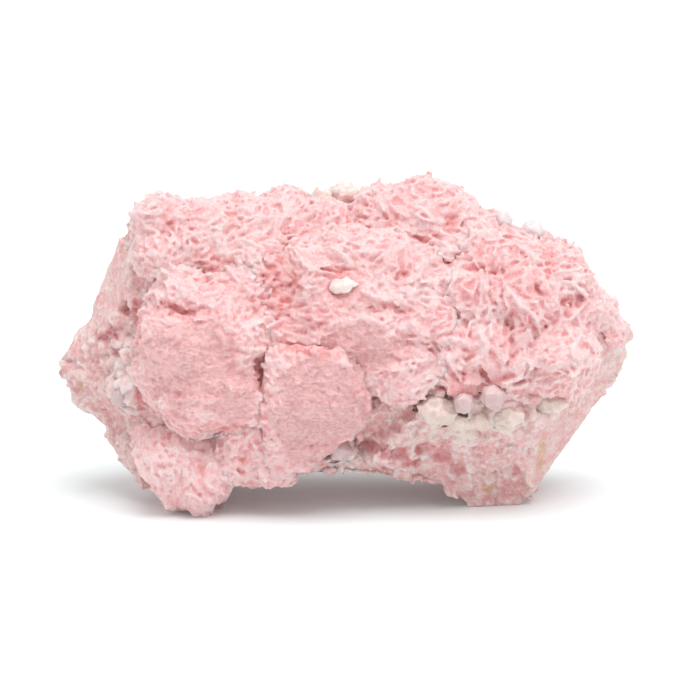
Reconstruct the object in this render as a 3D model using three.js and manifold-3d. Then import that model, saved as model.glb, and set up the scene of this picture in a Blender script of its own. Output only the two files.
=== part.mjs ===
// A rhodochrosite specimen: a broken block of host rock that stands on two feet, with mounds of
// bladed rhodochrosite over its front and top, and milky quartz crystals in the hollows between.
// Millimetres, +Z up, the crystal side towards -Y, standing on z = 0.
import * as THREE from "three";
import { ConvexGeometry } from "three/addons/geometries/ConvexGeometry.js";
import { ImprovedNoise } from "three/addons/math/ImprovedNoise.js";
import { mergeVertices } from "three/addons/utils/BufferGeometryUtils.js";
import Module from "manifold-3d";

const wasm = await Module();
wasm.setup();

// ---- Driving dimensions ----

const GAP = 0.35; // clearance between neighbouring pieces
const ROCK_SPLITS = 2; // times that each flat of the rock is split in four
const ROCK_ROUGH = 1.1; // how far the broken faces stray from flat
const ROCK_GRAIN = 9; // length of that roughness
const BLOCK_SLACK = 1.5; // a broken face leans away from the centre's rays, so it grows further
const LUMP_DETAILS = [ // subdivision of a lump, up to each radius
  [5.5, 1],
  [9, 2],
  [Infinity, 3],
];
const LUMP_ROUGH = 0.9; // how far a lump strays from round
const LUMP_GRAIN = 4.5; // length of that roughness
const FLOOR_DEPTH = 20; // thickness of the slab that trims what reaches below z = 0
const SPAN = 200; // longer than the whole specimen
const NOISE_START = new THREE.Vector3(7.3, 2.9, 5.1); // where in the noise the specimen lies

const ROCK_CENTRE = new THREE.Vector3(0, 2, 26);

// Corners of the broken block. Those below z = 0 are trimmed to flat feet.
const ROCK_CORNERS = [
  // the outline seen from the front, clockwise from the left tip
  [-50, 3, 22], [-46, 4, 30], [-39, 4, 50], [-22, 4, 53], [-7, 6, 54.5], [11, 6, 54.5],
  [28, 4, 49.5], [37, 3, 45], [42, 2, 40], [46, 3, 34], [50, 4, 28], [44, 1, 18],
  [37, -2, 8], [32, -4, 1], [-35, -4, 3], [-40, -1, 8.5], [-48, 2, 16.5],
  // the front, under the crystal mounds
  [-35, -10, 37], [-12, -13, 38], [8, -14, 40], [28, -12, 38], [40, -8, 28],
  [-36, -10, 24], [-33, -10, 13], [-14, -14, 20], [-3, -15, 12],
  [14, -17, 20], [24, -17, 21], [33, -13, 17],
  // the feet
  [-31, -8, -2], [-21, -9, -2], [20, -7, -2], [31, -5, -2], [-28, 11, -2], [29, 13, -2],
  // the back
  [-42, 14, 26], [-38, 15, 40], [-30, 19, 12], [-22, 14, 49], [-5, 20, 24], [6, 16, 49],
  [25, 19, 14], [30, 14, 42], [43, 14, 24], [-5, 16, 3],
];

// The low tunnel between the feet runs from front to back.
const ARCH = { x: -0.5, halfWidth: 21.5, height: 5.8, length: 70, tilt: 0.055, rough: 0.8 };
const ARCH_SIDES = 20;
const ARCH_RINGS = 8;

// Crystal mounds, each a broad body with rosettes that bulge from it.
// A lump is x, y, z and its radius, or its three radii along x, y and z.
const MOUNDS = {
  left_lobe: [
    [-24.5, -12, 28.5, 12.4, 7.5, 13.4], [-28.5, -13, 30, 8], [-20, -12.5, 31, 7.2],
    [-26, -13, 21.8, 7.6], [-20, -13, 22, 7], [-28.5, -10, 37.5, 5.4], [-18.5, -11, 37.5, 5],
  ],
  left_foot: [
    [-29.5, -10.5, 8, 7.5, 6.2, 7], [-31, -12, 9.2, 5.8], [-25.7, -13, 6.4, 5.2],
    [-33.5, -8, 11.3, 4], [-25.4, -13.5, 1.9, 2.3],
  ],
  top_dome: [
    [12, -2, 48.5, 12, 6.6, 7.4], [6, -1, 49.4, 6], [12.3, 0, 50.4, 6.2], [17.4, -1, 49.2, 5.6],
    [9, -5.5, 46, 4.6], [16.2, -5.5, 46, 4.6], [20.5, -4, 46.5, 4.6],
  ],
  right_mound: [
    [29.5, -8, 35.5, 12.8, 8, 13.6], [24, -6, 43.9, 6], [29.6, -5, 43.7, 6], [34.6, -4, 41.8, 5.3],
    [22.5, -11, 38, 6], [30, -12, 38, 6.2], [37.4, -6, 37.5, 5.2], [26.3, -13, 29.3, 6.4],
    [35, -11.5, 27.6, 7.3], [20.4, -13, 29, 5.8], [19.6, -14, 25.2, 4.6], [25.5, -14, 24.4, 4.6],
  ],
  centre_mound: [
    [3, -10, 35.5, 14.5, 7.8, 12], [9, -12.5, 27, 9, 6.4, 7], [-6.5, -10, 41.6, 5.8],
    [-0.6, -9, 43.8, 5.8], [6.4, -10, 42, 6.2], [13, -9.5, 40.6, 6], [-3, -12, 34.7, 5.8],
    [5, -13, 33.4, 6.4], [13, -12.5, 34, 6], [-11.5, -10.5, 37, 4.8], [15.4, -13, 27, 4.8],
    [9.5, -14.5, 24.6, 4.8], [-11, -11.5, 33, 4.8], [-13.5, -10, 41, 4.6],
  ],
  left_ridge: [
    [-19.5, -4, 45.5, 17.5, 6.4, 8.4], [-32.2, -3, 49.4, 5], [-25.8, -4, 48.8, 5.2],
    [-18.6, -3, 49.6, 5.3], [-11.4, -2, 50.4, 5.2], [-4.5, -2.5, 48.8, 5], [-32, -6, 44.6, 4.6],
    [-16.5, -7.5, 45, 4.6],
  ],
  low_crust: [
    [-16.2, -11.5, 10.4, 6.4, 4.6, 6], [-19, -12.5, 10, 4.4], [-13.5, -12.5, 8, 3.8],
    [-17.4, -13, 13.6, 4],
  ],
  right_crust: [
    [43, -1.5, 33.5, 3.5], [45, -0.5, 30, 2.6],
  ],
};

// The flat-faced crystal mass at the centre, as corners.
const PLATE_CORNERS = [
  [-14, -20.5, 30.8], [-8.5, -21, 31.5], [-2, -20, 30.5], [4, -19, 21.5], [3.8, -17.5, 19.5],
  [0, -18.5, 14.5], [-8, -18.5, 9], [-13, -17, 8], [-15.3, -20.5, 18.5], [-9, -22.5, 22], [-4, -22, 20],
  [-12, -12, 30], [-1, -12, 30], [3, -12, 20], [-13, -12, 10], [-15, -12, 18],
];
const PLATE_CENTRE = new THREE.Vector3(-7, -17, 21);
const PLATE_SPLITS = 1;
const PLATE_ROUGH = 0.3;
const PLATE_GRAIN = 4;

// Quartz crystals: the middle of each, the way it points, its radius and its length.
const QUARTZ = {
  quartz_ledge_right: { at: [24.5, -19.5, 22.3], to: [-0.45, -0.8, 0.35], radius: 2.1, length: 6 },
  quartz_ledge_left: { at: [19.6, -19.3, 21.2], to: [0.4, -0.75, 0.3], radius: 1.75, length: 5 },
  quartz_top_right: { at: [26.4, 0, 48.5], to: [0.25, -0.3, 1], radius: 1.9, length: 6 },
  quartz_top_far_right: { at: [31.6, 0, 46.9], to: [0.5, -0.2, 0.9], radius: 2.1, length: 6 },
  quartz_top_left: { at: [-4.5, 2.5, 52.4], to: [-0.3, -0.5, 1], radius: 1.9, length: 6 },
  quartz_top_middle: { at: [-1, 2.5, 53], to: [0.2, -0.4, 1], radius: 2.2, length: 7 },
  quartz_chip: { at: [-1.2, -17, 41], to: [0.9, -0.35, 0.2], radius: 1.7, length: 6 },
  quartz_cream_left: { at: [15.3, -17.2, 19.2], to: [-0.8, -0.5, 0.3], radius: 2.6, length: 8 },
  quartz_cream_right: { at: [27.3, -17, 18], to: [0.7, -0.6, 0.4], radius: 2, length: 6 },
  quartz_block_right: { at: [34.3, -14, 19.8], to: [0.9, -0.5, 0.1], radius: 2, length: 7 },
  quartz_low: { at: [-1.7, -15.3, 11.8], to: [-0.4, -0.8, 0.4], radius: 1.8, length: 5 },
  quartz_left: { at: [-39.2, -7, 19.4], to: [-0.3, -0.8, 0.5], radius: 2, length: 6 },
};
const QUARTZ_SIDES = 6;
const QUARTZ_TIP = 0.3; // share of the length taken by each pointed end

const FINISHES = {
  rock: { color: "#dfb9b6", roughness: 0.75, metalness: 0 },
  blades: { color: "#f3c9c8", roughness: 0.6, metalness: 0 },
  plate: { color: "#e6bab9", roughness: 0.65, metalness: 0 },
  quartz: { color: "#eddedb", roughness: 0.3, metalness: 0 },
};

// ---- Shaping ----

const noise = new ImprovedNoise();

// Noise from -1 to 1 at a point, with features of the given size.
function roughnessAt(point, size) {
  const { x, y, z } = point.clone().divideScalar(size).add(NOISE_START);
  return noise.noise(x, y, z);
}

function movePoints(geometry, move) {
  const position = geometry.getAttribute("position");
  const point = new THREE.Vector3();
  for (let i = 0; i < position.count; i++) {
    point.fromBufferAttribute(position, i);
    move(point);
    position.setXYZ(i, point.x, point.y, point.z);
  }
  return geometry;
}

// Splits each triangle in four, the same way on both sides of every edge.
function splitFaces(geometry, times) {
  let corners = geometry.getAttribute("position").array;
  for (let n = 0; n < times; n++) {
    const split = [];
    for (let i = 0; i < corners.length; i += 9) {
      const [a, b, c] = [0, 3, 6].map((k) => new THREE.Vector3().fromArray(corners, i + k));
      const ab = a.clone().add(b).multiplyScalar(0.5);
      const bc = b.clone().add(c).multiplyScalar(0.5);
      const ca = c.clone().add(a).multiplyScalar(0.5);
      for (const v of [a, ab, ca, ab, b, bc, ca, bc, c, ab, bc, ca]) split.push(v.x, v.y, v.z);
    }
    corners = split;
  }
  return new THREE.BufferGeometry().setAttribute(
    "position",
    new THREE.BufferAttribute(new Float32Array(corners), 3),
  );
}

// A closed geometry as a manifold-3d solid.
function solidOf(geometry) {
  const bare = geometry.clone();
  bare.deleteAttribute("normal");
  bare.deleteAttribute("uv");
  const merged = mergeVertices(bare, 1e-3);
  return new wasm.Manifold(
    new wasm.Mesh({
      numProp: 3,
      vertProperties: merged.getAttribute("position").array,
      triVerts: new Uint32Array(merged.index.array),
    }),
  );
}

// The largest body of a solid, without the crumbs that a cut leaves.
function largestBody(solid) {
  return solid.decompose().reduce((a, b) => (b.volume() > a.volume() ? b : a));
}

// ---- Pieces. Each takes how much larger than itself it is made, so that it can cut a clearance. ----

function brokenBlock(corners, centre, splits, rough, grain, grow) {
  const hull = new ConvexGeometry(corners.map((c) => new THREE.Vector3(...c)));
  const out = new THREE.Vector3();
  return movePoints(splitFaces(hull, splits), (p) => {
    out.copy(p).sub(centre).normalize();
    p.addScaledVector(out, rough * roughnessAt(p, grain) + grow * BLOCK_SLACK);
  });
}

function rockBlock(grow) {
  return solidOf(
    brokenBlock(ROCK_CORNERS, ROCK_CENTRE, ROCK_SPLITS, ROCK_ROUGH, ROCK_GRAIN, grow),
  );
}

function plateBlock(grow) {
  return solidOf(
    brokenBlock(PLATE_CORNERS, PLATE_CENTRE, PLATE_SPLITS, PLATE_ROUGH, PLATE_GRAIN, grow),
  );
}

function lump([x, y, z, width, depth = width, height = width], grow) {
  const [, detail] = LUMP_DETAILS.find(([upTo]) => width <= upTo);
  const middle = new THREE.Vector3(x, y, z);
  const out = new THREE.Vector3();
  const ball = new THREE.IcosahedronGeometry(1, detail).scale(width, depth, height).translate(x, y, z);
  return solidOf(
    movePoints(ball, (p) => {
      out.copy(p).sub(middle).normalize();
      p.addScaledVector(out, LUMP_ROUGH * roughnessAt(p, LUMP_GRAIN) + grow);
    }),
  );
}

function mound(lumps, grow) {
  return lumps.map((l) => lump(l, grow)).reduce((all, next) => all.add(next));
}

// A six-sided prism with a point at both ends.
function quartzCrystal({ at, to, radius, length }, grow) {
  const half = length / 2 + grow;
  const shoulder = half - length * QUARTZ_TIP;
  const profile = [
    [0, -half], [radius + grow, -shoulder], [radius + grow, shoulder], [0, half],
  ].map(([r, h]) => new THREE.Vector2(r, h));
  const lean = new THREE.Quaternion().setFromUnitVectors(
    new THREE.Vector3(0, 1, 0),
    new THREE.Vector3(...to).normalize(),
  );
  return solidOf(
    new THREE.LatheGeometry(profile, QUARTZ_SIDES).applyQuaternion(lean).translate(...at),
  );
}

function archTunnel() {
  const { x, halfWidth, height, length, tilt, rough } = ARCH;
  const tunnel = new THREE.CylinderGeometry(1, 1, length, ARCH_SIDES, ARCH_RINGS)
    .scale(halfWidth, 1, height)
    .rotateY(tilt)
    .translate(x, 0, 0);
  return solidOf(movePoints(tunnel, (p) => (p.z += rough * roughnessAt(p, ROCK_GRAIN))));
}

function floorSlab() {
  return solidOf(new THREE.BoxGeometry(SPAN, SPAN, FLOOR_DEPTH).translate(0, 0, -FLOOR_DEPTH / 2));
}

// ---- Assembly. Each piece is cut back from those that come before it. ----

const makers = new Map();
for (const [name, crystal] of Object.entries(QUARTZ)) {
  makers.set(name, { make: (grow) => quartzCrystal(crystal, grow), finish: FINISHES.quartz });
}
makers.set("host_rock", {
  make: (grow) => rockBlock(grow).subtract(archTunnel()),
  finish: FINISHES.rock,
});
makers.set("centre_plate", { make: plateBlock, finish: FINISHES.plate });
for (const [name, lumps] of Object.entries(MOUNDS)) {
  makers.set(name, { make: (grow) => mound(lumps, grow), finish: FINISHES.blades });
}

const specimen = new THREE.Group();
const bounds = new THREE.Box3();
let keepOut = floorSlab();
for (const [name, { make, finish }] of makers) {
  const solid = largestBody(make(0).subtract(keepOut));
  keepOut = keepOut.add(make(GAP));

  const { vertProperties, triVerts } = solid.getMesh();
  const geometry = new THREE.BufferGeometry()
    .setAttribute("position", new THREE.BufferAttribute(vertProperties, 3))
    .setIndex(new THREE.BufferAttribute(triVerts, 1));
  geometry.computeVertexNormals();
  const piece = new THREE.Mesh(geometry, new THREE.MeshStandardMaterial(finish));
  piece.name = name;
  specimen.add(piece);
  geometry.computeBoundingBox();
  bounds.union(geometry.boundingBox);
}

// The origin is the middle of the specimen's footprint, on the surface that it stands on.
const middle = bounds.getCenter(new THREE.Vector3());
specimen.position.set(-middle.x, -middle.y, 0);

export default specimen;
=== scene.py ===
import math

import bmesh
import bpy
import numpy as np
from mathutils import Matrix, Vector, noise
from mathutils.bvhtree import BVHTree


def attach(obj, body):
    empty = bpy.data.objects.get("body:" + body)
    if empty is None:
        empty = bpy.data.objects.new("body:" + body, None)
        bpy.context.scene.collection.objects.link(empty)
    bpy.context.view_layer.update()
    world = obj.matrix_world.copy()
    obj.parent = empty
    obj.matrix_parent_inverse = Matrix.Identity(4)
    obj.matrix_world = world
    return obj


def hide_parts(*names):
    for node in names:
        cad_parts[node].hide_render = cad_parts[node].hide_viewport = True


# A rhodochrosite specimen: mounds of intergrown blades and milky quartz crystals on a broken rock.
# Shapes are worked in millimetres, with the crystal side towards -Y, and scaled to metres at the end.

MM = 0.001
SEED = 11

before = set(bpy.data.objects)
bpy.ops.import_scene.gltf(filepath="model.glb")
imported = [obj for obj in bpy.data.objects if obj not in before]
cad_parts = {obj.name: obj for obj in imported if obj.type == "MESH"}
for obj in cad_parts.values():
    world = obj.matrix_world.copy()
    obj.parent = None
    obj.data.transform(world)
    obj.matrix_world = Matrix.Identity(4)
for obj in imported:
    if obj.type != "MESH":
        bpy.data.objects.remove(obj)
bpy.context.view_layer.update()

# ---- Sizes ----

BLADE_SHAPES = 16
BLADE_STEPS = (7, 4)  # faces of a blade along its length and its height
FLAKE_STEPS = (3, 2)
ROOT = 1.0  # how deep a blade is rooted in its mound
BODY_VOXEL = 0.5  # grain of a mound's body
BLADE_VOXEL = 0.26  # grain at which the blades grow into it
FLAKE_VOXEL = 0.17  # grain at which the flakes grow on to them
CRACK = 0.07  # half the width of the cracks that close
MOST_TRIANGLES = 160000
KEPT = 0.7  # share of a mound's triangles that thinning keeps
ROCK_VOXEL = 0.38
MOST_ROCK_TRIANGLES = 190000
QUARTZ_VOXEL = 0.16

# How each mound's blades grow. Sizes in mm: half length, rise above the mound, thickness, and the
# distance between neighbours. Lean is in degrees, and grain is the angle that the rims take to
# the horizontal and how far it strays.
MOUNDS = {
    "left_ridge": dict(half=1.25, rise=0.6, thick=0.33, apart=0.95, lean=32, grain=(10, 75)),
    "top_dome": dict(half=1.7, rise=0.75, thick=0.34, apart=1.05, lean=32, grain=(15, 80)),
    "centre_mound": dict(half=1.4, rise=0.64, thick=0.32, apart=0.98, lean=32, grain=(5, 45)),
    "right_mound": dict(half=1.65, rise=0.78, thick=0.36, apart=1.1, lean=30, grain=(35, 90)),
    "left_lobe": dict(half=1.2, rise=0.55, thick=0.3, apart=0.95, lean=34, grain=(8, 50)),
    "left_foot": dict(half=1.1, rise=0.5, thick=0.3, apart=0.9, lean=44, grain=(-30, 60)),
    "low_crust": dict(half=1.1, rise=0.6, thick=0.34, apart=1.0, lean=44, grain=(0, 90)),
    "right_crust": dict(half=1.2, rise=0.35, thick=0.38, apart=1.1, lean=55, grain=(0, 90)),
    "centre_plate": dict(half=0.9, rise=0.4, thick=0.3, apart=1.0, lean=30, grain=(-25, 40)),
}
BODY_SMOOTHING = {"centre_plate": 2}  # times a mound's body is smoothed, where it isn't 5
BODY_SWELL = 0.1
BODY_UNEVEN = 0.45
SEAM = (2.5, 0.5)  # how near a neighbour starts a mound growing towards it, and ends that
MEETING = 0.9  # how far mounds grow into the gap between them
BOOKS = 0.35  # share of the blades that have a parallel neighbour
LARGE = 0.2  # share that outgrow the others
CROWDED = 0.7  # no blade grows where another piece faces it nearer than this
FLAKE_CROWDED = 1.0
BLADE_TO_QUARTZ = 1.5  # nor where a quartz crystal is nearer than this on any side
FLAKE_TO_QUARTZ = 0.6
VELVET_LEAN = (66, 80)  # degrees, for the blades of a velvety face
FLAKE_LEAN = 42
VELVET_FLAKE_LEAN = (30, 68)
FLAKES_PER_MM2 = 2.1
FLAKE = dict(half=0.42, rise=0.16, thick=0.2, root=0.3)

# Where a mound's blades lie down into a velvety face: a middle and three radii.
VELVET = {
    "left_lobe": [((-27, -12, 28), (9, 14, 10)), ((-20, -12, 22), (5, 14, 6))],
    "centre_mound": [((2.5, -12, 31), (9.5, 10, 5.0))],
    "centre_plate": [((-5.5, -15, 20), (8.8, 12, 10.5))],
}

# The quartz crystals that aren't plain milky quartz.
TINTS = {
    "quartz_chip": "cream", "quartz_top_middle": "cream", "quartz_top_left": "cream",
    "quartz_cream_left": "dusky", "quartz_cream_right": "dusky", "quartz_block_right": "dusky",
    "quartz_top_right": "bright", "quartz_top_far_right": "bright",
}

# Hollows in a mound, and ledges where the depth is negative: a middle, three radii and a depth. The
# bladed finish paints shade into the hollows.
HOLLOWS = {
    "left_lobe": [
        ((-28.3, -15, 37.0), (5.5, 9, 1.0), 1.3), ((-27.5, -14, 39.8), (8, 9, 1.5), -0.7),
        ((-14.9, -14, 26.2), (1.5, 9, 2.8), 1.7), ((-27, -14, 23), (6, 9, 0.9), 0.6),
        ((-20, -14, 30), (1.0, 9, 4.0), 0.6),
        ((-22, -12, 16.5), (7, 9, 1.5), 0.9), ((-36.6, -12, 32), (1.3, 9, 4.5), 1.2),
        ((-17, -12, 38), (3, 9, 2.0), 0.8), ((-31, -12, 18.5), (4, 9, 1.2), 0.7),
        ((-14.8, -15, 19), (2.2, 9, 4), -0.8), ((-32.5, -12, 40.2), (1.8, 9, 1.2), 0.9),
        ((-24, -12, 41.0), (4.5, 9, 0.8), 0.7),
    ],
    "left_ridge": [
        ((-23.5, -8, 43.5), (9, 9, 1.5), 0.55), ((-31.5, -8, 50), (1.2, 9, 3), 0.7),
        ((-32.5, -9, 40.2), (1.8, 8, 1.2), 0.9), ((-27.2, -9, 41.7), (2.8, 8, 0.8), 0.7),
        ((-10, -5, 47), (2.5, 9, 3), 0.8), ((-20, -6, 50.5), (1.5, 9, 2.2), 0.5),
    ],
    "centre_mound": [
        ((-12.5, -12, 40.5), (4.5, 9, 5.5), 1.4), ((16.8, -8, 45), (1.8, 8, 1.3), 1.8),
        ((5, -12, 37.2), (11, 9, 1.0), 0.7), ((9, -12, 43), (1.3, 8, 2.6), 0.8),
        ((-2, -12, 43.6), (5, 9, 1.2), 0.6), ((14.5, -12, 31), (1.2, 8, 4.5), 0.9),
        ((-6, -12, 34.5), (5, 9, 1.0), 0.5), ((-5, -12, 31), (7, 9, 1.5), -0.8),
    ],
    "right_mound": [
        ((16.8, -8, 45), (2.0, 8, 1.3), 1.6), ((32.5, -12, 39.9), (2.4, 8, 1.5), 1.6),
        ((38.5, -9, 37.6), (4.5, 9, 1.0), 1.2), ((27.5, -13, 33), (1.2, 8, 5.0), 1.1),
        ((24, -12, 43), (4.5, 8, 1.0), 0.8), ((20.5, -13, 30), (1.0, 8, 4.0), 0.8),
        ((34, -10, 46), (1.3, 8, 3.0), 0.7), ((33, -12, 26.5), (6, 9, 0.8), 0.6),
        ((22, -12, 26), (5, 9, 2.0), 0.9),
    ],
    "top_dome": [
        ((7, -6, 50.5), (1.2, 9, 3.5), 0.8), ((17.5, -5, 51), (1.2, 9, 3.0), 0.8),
        ((12.5, -7, 47.8), (6, 9, 0.9), 0.8),
    ],
    "low_crust": [((-13, -14, 12.5), (3, 9, 4.5), -0.9), ((-18.5, -12, 10), (0.9, 9, 3), 0.7)],
    "left_foot": [((-25.5, -12, 8.5), (1.0, 9, 4.5), 0.6), ((-31, -13, 10), (3.5, 9, 0.8), 0.5)],
    "centre_plate": [
        ((-4, -18, 14), (5, 9, 0.7), 0.4), ((-6, -18, 31.5), (9, 9, 2.2), 0.9),
        ((-14.8, -18, 22), (1.5, 9, 9), 0.6), ((4.2, -18, 22), (2, 9, 8), 0.7),
    ],
}

# Broken faces that cut a piece back: a direction in X, Y and Z, and how far along it the piece
# may reach.
CUT_FACES = {
    "host_rock": [((1, 0, -0.8), 30.4)],
    "left_foot": [((-1, 0, -0.61), 30.4)],
    "low_crust": [((0, 0, -1), -5.9)],
    "right_mound": [((0.3, 0, 1), 56.0)],
}

# Patches of the rock: a middle and three radii each.
GLASSY = [
    ((-39.5, -9, 26.5), (4.5, 9, 9)), ((-39, -9, 18.5), (3, 8, 3)), ((34.5, -9, 19.3), (3.5, 8, 3)),
    ((-1.5, -9, 10.5), (3.5, 8, 3)), ((47, -2, 31), (2, 9, 5)), ((-24, -9, 11), (3.5, 8, 4.5)),
    ((6, 21, 30), (9, 8, 4)), ((-22, 20, 14), (6, 8, 3)),
]
CREAM = [
    ((20.3, -11, 17.2), (7.0, 8, 3.4)), ((27.2, -11, 16.9), (2.4, 8, 2.4)),
    ((12.5, -11, 21.0), (4.0, 8, 1.6)), ((-39.1, -10, 18.5), (2.2, 8, 2.2)),
    ((24, 20, 38), (7, 8, 5)),
]
DEEP = [
    ((-36.7, -7.5, 34.5), (1.2, 6, 3.2)), ((-38.6, -5, 33.8), (0.9, 6, 0.8)),
    ((-40.6, -3.6, 30.2), (1.4, 6, 1.3)), ((-43, -1.3, 29.4), (1.3, 6, 1.1)),
    ((-36, -8, 19.5), (1, 6, 2.5)), ((-40.4, -4, 27.2), (1.0, 6, 0.8)),
    ((16.2, -11, 10.0), (1.8, 6, 1.5)), ((12.8, -11, 11.4), (2.2, 6, 1.0)),
    ((11.4, -11, 8.8), (1.9, 6, 0.9)), ((18.8, -11, 7.4), (1.3, 6, 1.7)),
    ((8.0, -12, 10.6), (2.4, 6, 1.1)), ((4.6, -12, 12.2), (2.6, 6, 0.9)),
    ((27, -11, 22.5), (3.5, 8, 1.6)), ((43.5, -6, 33), (1.3, 8, 1.4)), ((-14, 20, 34), (8, 8, 4)),
]
STAIN = [
    ((24.1, -10, 3.4), (1.8, 8, 0.8)), ((-8.6, 5, 53.3), (3.0, 4, 1.2)), ((-47.3, -6, 20), (0.9, 8, 0.9)),
    ((33.5, -9, 10), (0.7, 8, 3.0)), ((3, 20, 12), (3, 8, 1.5)),
]
DARK = [((27.6, -11, 12.1), (0.9, 8, 0.35))]

# Bulges of the rock, each with its height in mm, and the faces where it broke smooth.
BULGES = [((-23.5, -10, 13.8), (5, 6, 3.0), 2.6), ((-37.8, 0, 47.5), (3, 8, 4.0), 1.6)]
SMOOTH = [((47, -2, 33), (9, 16, 9)), ((38, -4, 12), (9, 16, 15)), ((-44, 0, 40), (6, 14, 9))]

# The rock's broken faces: their size and how far they stand out, in mm.
LARGE_FACES = (10.0, 1.5)
MIDDLE_FACES = (3.4, 0.36)
SMALL_FACES = (1.4, 0.24)
END_SWELL = 1.2
END_FROM = 45  # where in X the swelling of either end starts
END_OVER = 4  # and how long it takes
PIT_DEPTH = 1.0
CREAM_HEIGHT = 0.5
# The bed that rises round a crystal and along a mound: how near, how high and how uneven.
QUARTZ_BED = (2.4, 1.5, 0.6)
MOUND_BED = (2.2, 0.6, 0.3)
BED_SLOPE = 1.6


def noise_at(points, size, shift=0.0):
    """Noise from -1 to 1 at each point, with features of that size."""
    move = Vector((shift, shift * 0.7 + 3.1, -shift))
    return np.array([noise.noise(Vector(p) / size + move) for p in points])


def mesh_points(mesh):
    co = np.empty(len(mesh.vertices) * 3, np.float32)
    mesh.vertices.foreach_get("co", co)
    return co.reshape(-1, 3).astype(float)


def mesh_normals(mesh):
    normals = np.empty(len(mesh.vertices) * 3, np.float32)
    mesh.vertex_normals.foreach_get("vector", normals)
    return normals.reshape(-1, 3).astype(float)


def mesh_triangles(mesh):
    mesh.calc_loop_triangles()
    corners = np.empty(len(mesh.loop_triangles) * 3, np.int32)
    mesh.loop_triangles.foreach_get("vertices", corners)
    return corners.reshape(-1, 3)


def set_points(mesh, points):
    mesh.vertices.foreach_set("co", points.astype(np.float32).ravel())
    mesh.update()


def store(mesh, name, values):
    """Keeps a number from 0 to 1 at each point, for the finish to read."""
    mesh.attributes.new(name, "FLOAT", "POINT").data.foreach_set("value", values.astype(np.float32))


def finished_mesh(shape, name):
    mesh = bpy.data.meshes.new(name)
    shape.to_mesh(mesh)
    shape.free()
    return mesh


def cad_mesh(node):
    """A merged copy of a CAD node, in mm."""
    shape = bmesh.new()
    shape.from_mesh(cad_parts[node].data)
    bmesh.ops.remove_doubles(shape, verts=shape.verts, dist=1e-6)
    bmesh.ops.scale(shape, vec=Vector((1, 1, 1)) / MM, verts=shape.verts)
    return finished_mesh(shape, node + "_form")


def through(mesh, *modifiers):
    """The mesh after those modifiers, each a type and its settings."""
    piece = bpy.data.objects.new("in_work", mesh)
    bpy.context.scene.collection.objects.link(piece)
    for kind, settings in modifiers:
        modifier = piece.modifiers.new(kind.lower(), kind)
        for key, value in settings.items():
            setattr(modifier, key, value)
    graph = bpy.context.evaluated_depsgraph_get()
    made = bpy.data.meshes.new_from_object(piece.evaluated_get(graph))
    bpy.data.objects.remove(piece)
    return made


def smoothed(mesh, times):
    return through(mesh, ("SMOOTH", dict(factor=0.5, iterations=times)))


def grown_together(mesh, voxel, smooth, factor=0.5):
    """One closed skin round everything in the mesh."""
    return through(
        mesh,
        ("REMESH", dict(mode="VOXEL", voxel_size=voxel, use_smooth_shade=True)),
        ("SMOOTH", dict(factor=factor, iterations=smooth)),
    )


def cracks_closed(mesh, voxel, reach):
    """The mesh with its cracks narrower than twice the reach filled."""
    set_points(mesh, mesh_points(mesh) + reach * mesh_normals(mesh))
    mesh = grown_together(mesh, voxel, 1, 0.2)
    set_points(mesh, mesh_points(mesh) - reach * mesh_normals(mesh))
    return mesh


def tree_of(meshes):
    """What a ray or a nearest point is looked up in."""
    points, faces = [], []
    for mesh in meshes:
        start = len(points)
        points += mesh_points(mesh).tolist()
        faces += (mesh_triangles(mesh) + start).tolist()
    return BVHTree.FromPolygons(points, faces)


def plate_shape(steps, rng):
    """A broken plate, 2 long and 2 high in XZ and 1 thick in Y, as points and triangles."""
    along, up = steps
    shape = bmesh.new()
    bmesh.ops.create_grid(shape, x_segments=along, y_segments=up, size=1)
    corner = rng.uniform(0.1, 0.7)  # 0 leaves the plate square, and 1 makes it an oval
    skew = rng.uniform(-0.3, 0.3)
    slope = rng.uniform(-0.4, 0.4)  # of its upper rim
    for vert in shape.verts:
        u, v = vert.co.x, vert.co.y
        x = u * math.sqrt(1 - corner * v * v / 2)
        z = v * math.sqrt(1 - corner * u * u / 2)
        z *= 1 + slope * u * (v > 0)
        ragged = 1 + rng.uniform(-0.18, 0.18)
        vert.co = ((x + skew * z) * ragged, -0.5, z * ragged)
    made = bmesh.ops.extrude_face_region(shape, geom=shape.faces[:])
    top = [item for item in made["geom"] if isinstance(item, bmesh.types.BMVert)]
    bmesh.ops.translate(shape, vec=(0, 1, 0), verts=top)
    bmesh.ops.recalc_face_normals(shape, faces=shape.faces)
    bmesh.ops.triangulate(shape, faces=shape.faces)
    shape.verts.index_update()
    points = np.array([vert.co[:] for vert in shape.verts])
    faces = np.array([[vert.index for vert in face.verts] for face in shape.faces])
    shape.free()
    return points, faces


def triangle_sides(mesh):
    """Each triangle's first corner, its two sides from there, and their cross product."""
    co, corners = mesh_points(mesh), mesh_triangles(mesh)
    a, b, c = co[corners[:, 0]], co[corners[:, 1]], co[corners[:, 2]]
    return a, b - a, c - a, np.cross(b - a, c - a)


def area_of(mesh):
    return np.linalg.norm(triangle_sides(mesh)[3], axis=1).sum() / 2


def strewn(mesh, count, rng):
    """That many points at random on a mesh, each with its normal."""
    corner, side, other, cross = triangle_sides(mesh)
    area = np.linalg.norm(cross, axis=1)
    picked = rng.choice(len(area), count, p=area / area.sum())
    u, v = rng.random(count), rng.random(count)
    over = u + v > 1
    u[over], v[over] = 1 - u[over], 1 - v[over]
    spots = corner[picked] + side[picked] * u[:, None] + other[picked] * v[:, None]
    return spots, cross[picked] / area[picked][:, None]


def spaced_out(spots, apart):
    """Which spots stay when none may be nearer to an earlier one than apart."""
    kept = np.zeros(len(spots), bool)
    for i, spot in enumerate(spots):
        others = spots[:i][kept[:i]]
        kept[i] = not len(others) or ((others - spot) ** 2).sum(1).min() > apart**2
    return kept


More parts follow.
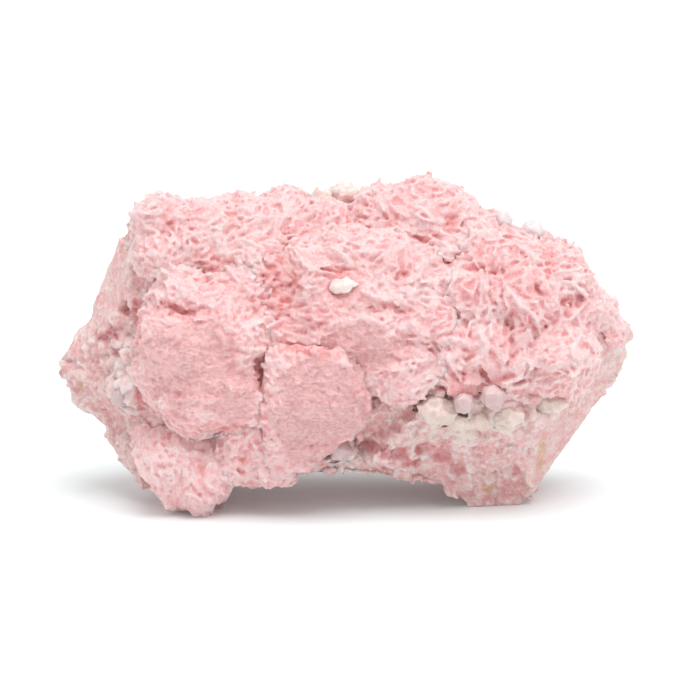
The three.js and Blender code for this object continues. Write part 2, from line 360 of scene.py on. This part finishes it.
def in_the_open(spots, normals, others, reach):
    """Which spots have none of the other pieces within reach in front of them."""
    return np.array([
        others.ray_cast(Vector(s + n * 0.3), Vector(n), reach)[0] is None
        for s, n in zip(spots, normals)
    ])


def distances(points, tree):
    """How far each point is from the pieces in the tree."""
    return np.array([tree.find_nearest(Vector(p))[3] for p in points])


def heights_above(points, ground):
    """How far each point stands above the nearest place on the ground."""
    heights = np.empty(len(points))
    for i, p in enumerate(points):
        spot, normal, _, _ = ground.find_nearest(Vector(p))
        heights[i] = (Vector(p) - spot).dot(normal)
    return heights


def joined(name, parts):
    """One mesh from (points, triangles) pairs."""
    counts = np.cumsum([0] + [len(points) for points, _ in parts])
    points = np.concatenate([points for points, _ in parts])
    faces = np.concatenate([faces + start for (_, faces), start in zip(parts, counts)])
    mesh = bpy.data.meshes.new(name)
    mesh.from_pydata(points.tolist(), [], faces.tolist())
    return mesh


def reach_from(points, middle, radii):
    """0 in the middle of an ellipsoid, 1 on its surface and more outside."""
    return np.sqrt((((points - middle) / radii) ** 2).sum(1))


def inside(points, regions, size=4.0, ragged=0.25):
    """From 0 outside to 1 inside any of the regions, with a border ragged at that size in mm."""
    share = np.zeros(len(points))
    if regions:
        wander = ragged * noise_at(points, size, 5.0)
    for middle, radii in regions:
        reach = reach_from(points, middle, radii) + wander
        share = np.maximum(share, np.clip((1.12 - reach) / 0.24, 0, 1))
    return share


def hollowed(points, hollows):
    """How deep each point lies in the hollows."""
    depth = np.zeros(len(points))
    wander = 0.25 * noise_at(points, 3.0, 8.0)
    for middle, radii, deepest in hollows:
        reach = reach_from(points, middle, radii) + wander
        depth += deepest * np.clip((1.3 - reach) / 0.9, 0, 1)
    return depth


def cut_back(points, faces):
    """The points, with those beyond a face moved on to it."""
    for direction, reach in faces:
        direction = np.array(direction, float)
        beyond = np.maximum(points @ direction - reach, 0) / (direction @ direction)
        points = points - beyond[:, None] * direction
    return points


def turned_about(axis, vector, angle):
    """Each vector turned about its axis, which is at right angles to it."""
    return vector * np.cos(angle)[:, None] + np.cross(axis, vector) * np.sin(angle)[:, None]


def plates_at(spots, normals, angle, lean, half, rise, root, thick, shift, shapes, rng):
    """Bent plates that stand on their edges beside the spots, as (points, triangles) pairs."""
    count = len(spots)
    level = np.cross((0, 0, 1), normals) + (1e-6, 0, 0)
    level /= np.linalg.norm(level, axis=1)[:, None]
    along = turned_about(normals, level, angle)
    out = turned_about(along, normals, lean)
    across = np.cross(out, along)
    bend = rng.normal(0, 0.1, count)
    twist = rng.normal(0, 0.13, count)
    parts = []
    for i in range(count):
        points, faces = shapes[rng.integers(len(shapes))]
        x, side, z = points.T
        rim = 1 - 0.25 * np.clip(x * x + z * z, 0, 1)
        y = shift[i] + half[i] * (bend[i] * x * x + twist[i] * x * z) + side * thick[i] * rim
        up = ((rise[i] - root[i]) + z * (rise[i] + root[i])) / 2
        parts.append((
            spots[i] + out[i] * up[:, None] + along[i] * (x * half[i])[:, None] + across[i] * y[:, None],
            faces,
        ))
    return parts


def blades_on(body, habit, velvet, others, crystals, shapes, rng):
    """The blades of a mound: upright and leaning, or laid down where it is velvety."""
    spots, normals = strewn(body, int(area_of(body) / habit["apart"] ** 2 * 5), rng)
    kept = spaced_out(spots, habit["apart"])
    spots, normals = spots[kept], normals[kept]
    kept = in_the_open(spots, normals, others, CROWDED)
    kept &= distances(spots, crystals) > BLADE_TO_QUARTZ
    spots, normals = spots[kept], normals[kept]
    count = len(spots)
    flat = inside(spots, velvet)
    mean, stray = habit["grain"]
    angle = np.radians(mean + 2 * stray * noise_at(spots, 7.0, 1.0) + rng.normal(0, 20, count))
    lean = np.radians(np.clip(rng.normal(0, habit["lean"], count), -70, 70))
    lean = lean * (1 - flat) + np.radians(rng.uniform(*VELVET_LEAN, count)) * flat
    rise = habit["rise"] * rng.uniform(0.55, 1.25, count) / np.sqrt(np.cos(lean))
    rise = rise * (1 - flat) + habit["half"] * 0.5 * flat
    root = ROOT * (1 - flat) + habit["half"] * 0.75 * flat
    large = rng.random(count) < LARGE
    half = habit["half"] * np.where(large, rng.uniform(1.25, 1.7, count), rng.uniform(0.5, 1.0, count))
    rise *= np.where(large, 1.3, 0.9)
    thick = habit["thick"] * rng.uniform(0.8, 1.25, count) * (1 - 0.3 * flat)
    # a book of two blades has its second beside the first, a little lower
    first = np.arange(count)
    twin = np.flatnonzero(rng.random(count) < BOOKS)
    chosen = np.concatenate([first, twin])
    shift = np.concatenate([
        np.zeros(count), rng.choice((-1, 1), len(twin)) * thick[twin] * rng.uniform(1.3, 2.1, len(twin))
    ])
    rise = rise[chosen] * np.concatenate([np.ones(count), rng.uniform(0.5, 0.9, len(twin))])
    half = half[chosen] * np.concatenate([np.ones(count), rng.uniform(0.6, 1.0, len(twin))])
    return plates_at(
        spots[chosen], normals[chosen], angle[chosen], lean[chosen], half, rise, root[chosen],
        thick[chosen], shift, shapes, rng,
    )


def flakes_on(mesh, velvet, others, crystals, shapes, rng):
    """The small flakes that roughen the blades' faces."""
    spots, normals = strewn(mesh, int(area_of(mesh) * FLAKES_PER_MM2), rng)
    kept = in_the_open(spots, normals, others, FLAKE_CROWDED)
    kept &= distances(spots, crystals) > FLAKE_TO_QUARTZ
    spots, normals = spots[kept], normals[kept]
    count = len(spots)
    flat = inside(spots, velvet)
    angle = 200 * noise_at(spots, 5.0, 9.0) * (1 - flat) + (60 * noise_at(spots, 6.0, 9.0) - 30) * flat
    angle = np.radians(angle + rng.normal(0, 26, count))
    lean = np.radians(np.clip(rng.normal(0, FLAKE_LEAN, count), -72, 72)) * (1 - flat)
    lean += np.radians(rng.uniform(*VELVET_FLAKE_LEAN, count)) * flat
    size = rng.uniform(0.6, 1.4, count)
    half = FLAKE["half"] * size * (1 + 0.2 * flat)
    rise = FLAKE["rise"] * size * (1 + 0.5 * flat)
    root = FLAKE["root"] * size * (1 + 0.6 * flat)
    thick = FLAKE["thick"] * rng.uniform(0.85, 1.2, count)
    return plates_at(
        spots, normals, angle, lean, half, rise, root, thick, np.zeros(count), shapes, rng
    )


def thinned(mesh, share, most):
    """The mesh with that share of its triangles, and no more than the most."""
    ratio = min(share, most / len(mesh_triangles(mesh)))
    return through(mesh, ("DECIMATE", dict(ratio=ratio)))


def with_parts(mesh, parts, name):
    return joined(name, [(mesh_points(mesh), mesh_triangles(mesh))] + parts)


def quartz_of(forms):
    return [form for name, form in forms.items() if name.startswith("quartz")]


def mound_body(node, forms):
    """What a mound's blades stand on: its form, swollen towards its neighbours and hollowed."""
    body = grown_together(forms[node], BODY_VOXEL, BODY_SMOOTHING.get(node, 5))
    points = mesh_points(body)
    neighbours = tree_of([
        form for name, form in forms.items() if name != node and not name.startswith("quartz")
    ])
    start, end = SEAM
    near = np.clip((start - distances(points, neighbours)) / (start - end), 0, 1)
    swell = (BODY_SWELL + BODY_UNEVEN * noise_at(points, 3.5)) * (1 - near) + MEETING * near
    swell -= hollowed(points, HOLLOWS.get(node, []))
    if node == "centre_plate":
        swell += 0.5 * noise_at(points, 1.7, 3.0) * near  # its rim is ragged
    points += mesh_normals(body) * swell[:, None]
    set_points(body, cut_back(points, CUT_FACES.get(node, [])))
    return body


def mound_mesh(node, habit, forms, shapes, flakes, rng):
    """A mound's body, its blades and the flakes on them, grown together."""
    body = mound_body(node, forms)
    velvet, hollows = VELVET.get(node, []), HOLLOWS.get(node, [])
    others = tree_of([form for name, form in forms.items() if name != node])
    crystals = tree_of(quartz_of(forms))
    blades = blades_on(body, habit, velvet, others, crystals, shapes, rng)
    mound = with_parts(body, blades, node + "_blades")
    faces = grown_together(mound, BLADE_VOXEL, 0)
    few = flakes_on(faces, velvet, others, crystals, flakes, rng)
    mound = grown_together(with_parts(mound, few, node + "_flakes"), FLAKE_VOXEL, 0)
    mound = thinned(cracks_closed(mound, FLAKE_VOXEL, CRACK), KEPT, MOST_TRIANGLES)
    points = mesh_points(mound)
    uneven = 0.09 * noise_at(points, 0.42) + 0.05 * noise_at(points, 1.1)
    points += mesh_normals(mound) * uneven[:, None]
    points[:, 2] = np.maximum(points[:, 2], 0)
    set_points(mound, points)
    # the crest runs from 0 in a pocket between the blades to 1 on a rim
    height = heights_above(points, tree_of([body]))
    store(mound, "crest", np.clip((height + 0.1) / (habit["rise"] * 1.1), 0, 1))
    store(mound, "velvet", inside(points, velvet))
    # how deep each point lies in the hollows, which the finish paints as shade
    store(mound, "deep", np.clip(hollowed(points, hollows), 0, 1))
    store(mound, "rim", sharpness(mound))
    return mound


def sharpness(mesh, reach=0.12):
    """From 0 in a crease to 1 on an edge."""
    soft = smoothed(mesh, 5)
    stand = ((mesh_points(mesh) - mesh_points(soft)) * mesh_normals(soft)).sum(1)
    return np.clip(0.5 + stand / reach / 2, 0, 1)


def show(name, mesh, finish, node):
    """The finished piece, in metres, in place of its CAD node."""
    mesh.transform(Matrix.Scale(MM, 4))
    mesh.materials.clear()
    mesh.materials.append(finish)
    piece = bpy.data.objects.new(name, mesh)
    bpy.context.scene.collection.objects.link(piece)
    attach(piece, "root")
    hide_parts(node)


# ---- Finishes ----


class Signal:
    """A socket that takes arithmetic."""

    def __init__(self, finish, socket):
        self.finish, self.socket = finish, socket

    def maths(self, operation, *values):
        return self.finish.node(
            "ShaderNodeMath", dict(operation=operation), dict(enumerate(values))
        )

    def __add__(self, other):
        return self.maths("ADD", self, other)

    def __sub__(self, other):
        return self.maths("SUBTRACT", self, other)

    def __mul__(self, other):
        return self.maths("MULTIPLY", self, other)

    def __rsub__(self, other):
        return self.maths("SUBTRACT", other, self)

    __radd__ = __add__
    __rmul__ = __mul__

    def held(self, low, high):
        """Runs from 0 at low to 1 at high."""
        return self.finish.node(
            "ShaderNodeMapRange", {}, {"Value": self, "From Min": low, "From Max": high}
        )


class Finish:
    """A material and the making of its nodes."""

    def __init__(self, name):
        self.material = bpy.data.materials.new(name)
        self.material.use_nodes = True
        self.tree = self.material.node_tree
        self.tree.nodes.clear()

    def node(self, kind, settings, sockets, out=0):
        made = self.tree.nodes.new(kind)
        for key, value in settings.items():
            setattr(made, key, value)
        for key, value in sockets.items():
            if isinstance(value, Signal):
                self.tree.links.new(value.socket, made.inputs[key])
            else:
                made.inputs[key].default_value = value
        return Signal(self, made.outputs[out])

    def place(self):
        return self.node("ShaderNodeTexCoord", {}, {}, "Object")

    def stored(self, name):
        return self.node("ShaderNodeAttribute", dict(attribute_name=name), {}, "Fac")

    def clouds(self, size, detail=4.0, rough=0.55, warp=0.0):
        """Soft noise from 0 to 1, with features of that size in mm."""
        sockets = {"Vector": self.place(), "Scale": 1 / (size * MM), "Detail": detail,
                   "Roughness": rough, "Distortion": warp}
        return self.node("ShaderNodeTexNoise", {}, sockets)

    def fibres(self, size, length, turn):
        """Soft strokes of that size and length in mm, turned in XZ by so many degrees."""
        axes = {"Vector": self.place(), "Rotation": (0, math.radians(turn), 0),
                "Scale": (size / length, 1, 1)}
        strokes = {"Vector": self.node("ShaderNodeMapping", {}, axes), "Scale": 1 / (size * MM),
                   "Detail": 3, "Roughness": 0.6, "Distortion": 1.0}
        return self.node("ShaderNodeTexNoise", {}, strokes)

    def grains(self, size, out):
        """Irregular cells of that size in mm: their Distance from the middle, or a Color each."""
        sockets = {"Vector": self.place(), "Scale": 1 / (size * MM)}
        return self.node("ShaderNodeTexVoronoi", {}, sockets, out)

    def mix(self, share, a, b, blend="MIX"):
        """Colour a at share 0, b at share 1."""
        a, b = (c if isinstance(c, Signal) else (*c, 1) for c in (a, b))
        settings = dict(data_type="RGBA", blend_type=blend)
        return self.node("ShaderNodeMix", settings, {0: share, 6: a, 7: b}, 2)

    def bump(self, height, distance, strength=1.0):
        sockets = {"Height": height, "Distance": distance * MM, "Strength": strength}
        return self.node("ShaderNodeBump", {}, sockets)

    def surface(self, shader):
        output = self.tree.nodes.new("ShaderNodeOutputMaterial")
        self.tree.links.new(shader.socket, output.inputs["Surface"])
        return self.material

    def stone(self, **sockets):
        return self.node("ShaderNodeBsdfPrincipled", {}, sockets)


def bladed_finish(name, tone):
    """Pink crystal, times a tone where it is velvety, with painted shade in its pockets, creases and
    hollows.
    """
    finish = Finish(name)
    crest, velvet, rim, deep = (finish.stored(name) for name in ("crest", "velvet", "rim", "deep"))
    broad = finish.clouds(6, 4).held(0.35, 0.65)
    fine = finish.clouds(0.45, 3, 0.65)
    speck = finish.clouds(0.28, 2) - 0.5
    # paler on the rims and deeper pink low between the blades: partly the blades' own paler edges, partly
    # painted shade in the pockets and creases
    depth = (crest * 0.5 + rim * 0.4 + (fine - 0.5) * 1.2 + speck * 1.8).held(0.05, 0.85)
    low = finish.mix(broad, (0.96, 0.43, 0.44), (0.98, 0.55, 0.55))
    high = finish.mix(broad, (0.98, 0.66, 0.66), (0.99, 0.76, 0.755))
    colour = finish.mix(depth, low, high)
    turned = finish.clouds(5, 2).held(0.42, 0.58)
    strokes = finish.fibres(0.3, 1.6, 25) * turned + finish.fibres(0.3, 1.6, -50) * (1 - turned)
    # fibrous strokes, with painted shade darkening the creases and the edges paler
    strand = (strokes.held(0.35, 0.65) * 0.8 + rim * 0.6 - 0.3 + speck * 0.8).held(0.0, 0.9)
    soft = finish.mix(strand, (0.76, 0.35, 0.36), (0.90, 0.67, 0.66))
    mottle = finish.clouds(2.6, 4, 0.6).held(0.35, 0.65)
    soft = finish.mix(mottle * 0.45, soft, (0.92, 0.57, 0.57))
    soft = finish.mix(1.0, soft, tone, "MULTIPLY")
    colour = finish.mix(velvet * 0.85, colour, soft)
    # painted shade: deep red in the pockets between the blades, where little light reaches
    pocket = (0.45 - crest * 1.2 - rim * 0.4).held(0.0, 0.3)
    colour = finish.mix(pocket * (1 - 0.7 * velvet) * 0.6, colour, (0.93, 0.30, 0.29))
    # painted shade: darker and redder in the mound's hollows, most where they lie low between the blades
    colour = finish.mix(deep * 0.5, colour, (0.84, 0.41, 0.41))
    shade = deep * (0.9 - crest).held(0.0, 0.7)
    colour = finish.mix(shade * 0.75, colour, (0.70, 0.22, 0.21))
    # iron in a few of the crevices, partly a painted glow of light through the thin crystals
    rust_and_glow = finish.clouds(1.6, 2).held(0.66, 0.7) * (0.55 - crest).held(0.1, 0.3)
    colour = finish.mix(rust_and_glow * (1 - velvet) * 0.8, colour, (0.52, 0.13, 0.07))
    sugar = finish.clouds(0.3, 4, 0.65)
    relief = finish.bump(sugar + (strokes * 1.6 - sugar) * velvet * 0.8, 0.28, 1.0)
    return finish.surface(finish.stone(**{
        "Base Color": colour, "Roughness": 0.75, "Normal": relief, "Specular IOR Level": 0.1,
        "Subsurface Weight": 0.7, "Subsurface Scale": 0.9 * MM,
        "Subsurface Radius": (1.0, 0.8, 0.75),
    }))


def rock_finish():
    finish = Finish("host_rock")
    glassy, cream, deep, stain, dark, crust, rim, blush = (
        finish.stored(name)
        for name in ("glassy", "cream", "deep", "stain", "dark", "crust", "rim", "blush")
    )
    broad = finish.clouds(7, 5).held(0.3, 0.7)
    fine = finish.clouds(0.55, 5, 0.7).held(0.35, 0.65)
    specks = finish.clouds(0.3, 2).held(0.66, 0.72)
    chips = finish.grains(0.85, "Color") * 1.0
    lumps = finish.grains(2.1, "Color") * 1.0
    bare = finish.mix(broad, (0.86, 0.43, 0.43), (0.90, 0.55, 0.53))
    pale = finish.mix(broad, (0.95, 0.72, 0.70), (0.97, 0.82, 0.79))
    # pale crust and grains against bare pink; the rim term also paints shade into the creases and makes
    # the edges paler
    height = crust * 0.7 + (rim - 0.5) * 0.7 + (fine - 0.5) * 0.8 + (chips - 0.5) * 0.9
    colour = finish.mix((height + (lumps - 0.5) * 0.5).held(-0.1, 0.9), bare, pale)
    colour = finish.mix(blush * 0.7, colour, finish.mix(fine, (0.88, 0.42, 0.42), (0.95, 0.66, 0.65)))
    # deeper pink in the pits: partly the rock's own colour, partly painted shade in the pits and in the
    # crevice beside the lobe
    colour = finish.mix(deep * (1 - 0.5 * crust) * (0.5 + fine * 0.5), colour, (0.78, 0.28, 0.30))
    colour = finish.mix(cream * (0.75 + fine * 0.25), colour, (0.94, 0.78, 0.70))
    colour = finish.mix(stain * fine, colour, (0.72, 0.42, 0.18))
    colour = finish.mix(dark * fine * 0.8, colour, (0.22, 0.19, 0.20))
    colour = finish.mix(specks * 0.5, colour, (0.48, 0.22, 0.20))
    sugar = finish.clouds(0.4, 5, 0.6) + finish.grains(0.85, "Distance") * 0.6
    relief = finish.bump(sugar, 0.42, 1.0)
    plain = finish.stone(**{
        "Base Color": colour, "Roughness": 0.7, "Normal": relief, "Specular IOR Level": 0.25,
        "Subsurface Weight": 0.3, "Subsurface Scale": 0.8 * MM,
        "Subsurface Radius": (1.0, 0.8, 0.75),
    })
    gloss = finish.bump(finish.grains(1.3, "Distance") + finish.clouds(0.6, 3) * 0.5, 0.3, 0.8)
    grain = finish.mix(lumps, (0.74, 0.50, 0.49), (0.92, 0.79, 0.76))
    clear = finish.stone(**{
        "Base Color": grain, "Roughness": 0.25, "IOR": 1.54, "Normal": gloss,
        "Subsurface Weight": 0.8, "Subsurface Scale": 1.6 * MM,
        "Subsurface Radius": (1.0, 0.9, 0.85),
    })
    share = glassy * (1 - deep) * (chips * 0.5 + crust * 0.3 + fine * 0.4).held(0.25, 0.5)
    return finish.surface(finish.node("ShaderNodeMixShader", {}, {0: share, 1: plain, 2: clear}))


def quartz_finish(name, dull, bright, clear):
    finish = Finish(name)
    cloud = finish.clouds(2.0, 3)
    colour = finish.mix(cloud, dull, bright)
    relief = finish.bump(finish.clouds(0.8, 4), 0.08, 0.5)
    return finish.surface(finish.stone(**{
        "Base Color": colour, "Roughness": 0.28, "Normal": relief, "IOR": 1.54,
        "Transmission Weight": clear, "Subsurface Weight": 0.8, "Subsurface Scale": 2.0 * MM,
        "Subsurface Radius": (1.0, 0.85, 0.9),
    }))


# ---- Pieces ----


def broken(points, faces, shift):
    """How far each point stands out on the tilted face of its own lump."""
    size, height = faces
    out = np.empty(len(points))
    move = Vector((shift, 2 * shift, -shift))
    for i, p in enumerate(points):
        spot = Vector(p) / size + move
        middle = noise.voronoi(spot)[1][0]
        tilt = noise.cell_vector(middle) * 2 - Vector((1, 1, 1))
        out[i] = 1.2 * (spot - middle).dot(tilt) + noise.cell(middle + Vector((9, 9, 9))) - 0.5
    return height * out


def crusted(points):
    """How thick the pale crust is, from 0 to 1."""
    patches = 0.8 * noise_at(points, 3.0, 2.0) + noise_at(points, 1.1, 4.0) + 0.7 * noise_at(points, 0.55)
    return np.clip(0.45 + 1.9 * patches, 0, 1)


def patch(points, regions):
    """From 0 to 1 inside a patch of the rock, with a very ragged border."""
    return inside(points, regions, 1.7, 0.8)


def calm_faces(points):
    """From 0 to 1 on the faces that broke smooth."""
    return inside(points, SMOOTH, 2.5, 0.5)


def bed(points, distance, start, height, uneven, shift):
    """How far the rock rises towards what is at that distance."""
    near = np.clip((start - distance) / BED_SLOPE, 0, 1)
    return near * (height + uneven * noise_at(points, 1.5, shift))


def faced_rock(form):
    """The rock with its large broken faces."""
    rock = grown_together(form, ROCK_VOXEL, 2)
    points = cut_back(mesh_points(rock), CUT_FACES["host_rock"])
    set_points(rock, points)
    normals = mesh_normals(smoothed(rock, 12))
    stand = broken(points, LARGE_FACES, 0.0) * (1 - 0.9 * calm_faces(points))
    stand += hollowed(points, BULGES)
    stand += END_SWELL * np.clip((np.abs(points[:, 0]) - END_FROM) / END_OVER, 0, 1)
    # the feet stay flat and nothing sinks below them
    stand *= np.clip(points[:, 2] / 1.2, 0, 1)
    set_points(rock, points + normals * stand[:, None])
    return smoothed(rock, 5)


def rock_mesh(forms):
    """The broken rock: its faces and grains, the crust on its heights and its patches."""
    rock = faced_rock(forms["host_rock"])
    points = mesh_points(rock)
    normals = mesh_normals(smoothed(rock, 8))
    glassy, cream, deep = (patch(points, regions) for regions in (GLASSY, CREAM, DEEP))
    rough = 1 - 0.8 * calm_faces(points)
    crystals = tree_of(quartz_of(forms))
    mounds = tree_of([form for name, form in forms.items() if name in MOUNDS])
    stand = broken(points, MIDDLE_FACES, 5.0) * rough * (1 + 0.5 * glassy)
    stand += broken(points, SMALL_FACES, 11.0) * rough * (1 + 1.3 * glassy)
    stand += (0.3 * crusted(points) - 0.15) * rough + CREAM_HEIGHT * cream - PIT_DEPTH * deep
    stand += 0.12 * noise_at(points, 0.8) * rough
    stand += bed(points, distances(points, crystals), *QUARTZ_BED, 6.0)
    stand += (1 - deep) * bed(points, distances(points, mounds), *MOUND_BED, 7.0)
    stand *= np.clip(points[:, 2] / 0.8, 0, 1)
    set_points(rock, points + normals * stand[:, None])
    rock = smoothed(rock, 1)
    points = mesh_points(rock)
    points[:, 2] = np.maximum(points[:, 2], 0)
    set_points(rock, points)
    rock = thinned(rock, 1.0, MOST_ROCK_TRIANGLES)
    store_rock(rock, mounds)
    return rock


def store_rock(rock, mounds):
    """Keeps the rock's patches, crust, edges and its blush next to the mounds."""
    points = mesh_points(rock)
    for name, regions in {
        "glassy": GLASSY, "cream": CREAM, "deep": DEEP, "stain": STAIN, "dark": DARK,
    }.items():
        store(rock, name, patch(points, regions))
    calm = np.clip(0.2 + 1.3 * noise_at(points, 11.0, 12.0), 0, 0.8)
    calm = np.maximum(0.65 * calm_faces(points), calm)
    store(rock, "crust", crusted(points) * (1 - calm) + 0.4 * calm)
    store(rock, "rim", sharpness(rock, 0.2))
    near = (1.9 - distances(points, mounds)) / 1.2
    store(rock, "blush", np.clip(near + 0.4 * noise_at(points, 1.5), 0, 1))


def quartz_mesh(node, form, tint):
    """A quartz crystal with its edges worn, and lumpy where it is cream or dusky."""
    crystal = grown_together(form, QUARTZ_VOXEL, 8)
    points = mesh_points(crystal)
    uneven = 0.3 * noise_at(points, 1.8) + 0.1 * noise_at(points, 0.7)
    if tint in ("cream", "dusky"):
        middle = points.mean(0)
        spread = (1.0, 1.1, 0.85) if node == "quartz_chip" else (1.2, 1.1, 1.0)
        points = middle + (points - middle) * spread + (0, 1.1, 0)
        uneven += 0.3 * noise_at(points, 1.1, 3.0) + 0.12 * noise_at(points, 0.5)
    elif tint == "bright":
        points += (0, -0.5, 0.4)
    points += mesh_normals(crystal) * uneven[:, None]
    set_points(crystal, points)
    return crystal


forms = {node: cad_mesh(node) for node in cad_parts}
shape_rng = np.random.default_rng(SEED)
shapes = [plate_shape(BLADE_STEPS, shape_rng) for _ in range(BLADE_SHAPES)]
flakes = [plate_shape(FLAKE_STEPS, shape_rng) for _ in range(BLADE_SHAPES)]

bladed = bladed_finish("bladed_pink", (1, 1, 1))
fibrous = bladed_finish("fibrous_pink", (0.93, 0.93, 0.93))
stone = rock_finish()
quartz = {
    "milky": quartz_finish("milky_quartz", (0.68, 0.48, 0.48), (0.82, 0.66, 0.65), 0.2),
    "bright": quartz_finish("bright_quartz", (0.93, 0.76, 0.76), (0.98, 0.88, 0.88), 0.15),
    "cream": quartz_finish("cream_quartz", (0.88, 0.73, 0.67), (0.96, 0.86, 0.81), 0.05),
    "dusky": quartz_finish("dusky_quartz", (0.72, 0.57, 0.52), (0.84, 0.71, 0.65), 0.05),
}

for turn, (node, habit) in enumerate(MOUNDS.items()):
    rng = np.random.default_rng(SEED + 1 + turn)
    mesh = mound_mesh(node, habit, forms, shapes, flakes, rng)
    if node == "centre_plate":
        show(node + "_crystals", mesh, fibrous, node)
    else:
        show(node + "_crystals", mesh, bladed, node)
show("rock", rock_mesh(forms), stone, "host_rock")
for node in sorted(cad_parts):
    if node.startswith("quartz"):
        tint = TINTS.get(node, "milky")
        mesh = quartz_mesh(node, forms[node], tint)
        show(node + "_crystal", mesh, quartz[tint], node)

# ---- Floor, light and camera ----

AIM = Vector((0.2, 1.26, 26.4)) * MM
CAMERA_HEIGHT = 12  # degrees above the horizon
LENS = 250
VIEW_WIDTH = 122.2 * MM  # what the frame takes in at the specimen


def floor():
    shape = bmesh.new()
    bmesh.ops.create_circle(shape, cap_ends=True, segments=64, radius=4)
    piece = bpy.data.objects.new("floor", finished_mesh(shape, "floor"))
    bpy.context.scene.collection.objects.link(piece)
    finish = Finish("floor")
    piece.data.materials.append(
        finish.surface(finish.stone(**{
            "Base Color": (0.87, 0.93, 0.935, 1), "Roughness": 0.9,
            "Emission Color": (1, 1, 1, 1), "Emission Strength": 0.05,
        }))
    )


def sun(name, front, right, spread, strength):
    """A broad soft light from overhead, tilted that far to the front and to the right."""
    data = bpy.data.lights.new(name, "SUN")
    data.energy, data.angle = strength, math.radians(spread)
    light = bpy.data.objects.new(name, data)
    light.rotation_euler = (math.radians(front), math.radians(right), 0)
    bpy.context.scene.collection.objects.link(light)


def camera():
    data = bpy.data.cameras.new("camera")
    data.lens, data.sensor_width = LENS, 36
    data.clip_start, data.clip_end = 0.01, 20
    away = VIEW_WIDTH * LENS / data.sensor_width
    height = math.radians(CAMERA_HEIGHT)
    eye = bpy.data.objects.new("camera", data)
    eye.location = AIM + Vector((0, -math.cos(height), math.sin(height))) * away
    eye.rotation_euler = (AIM - eye.location).to_track_quat("-Z", "Y").to_euler()
    bpy.context.scene.collection.objects.link(eye)
    bpy.context.scene.camera = eye


floor()
sun("overhead", front=16, right=9, spread=48, strength=2.05)
world = bpy.data.worlds.new("studio")
world.use_nodes = True
world.node_tree.nodes["Background"].inputs["Color"].default_value = (1, 1, 1, 1)
world.node_tree.nodes["Background"].inputs["Strength"].default_value = 0.68
bpy.context.scene.world = world
bpy.context.scene.view_settings.view_transform = "Standard"
camera()
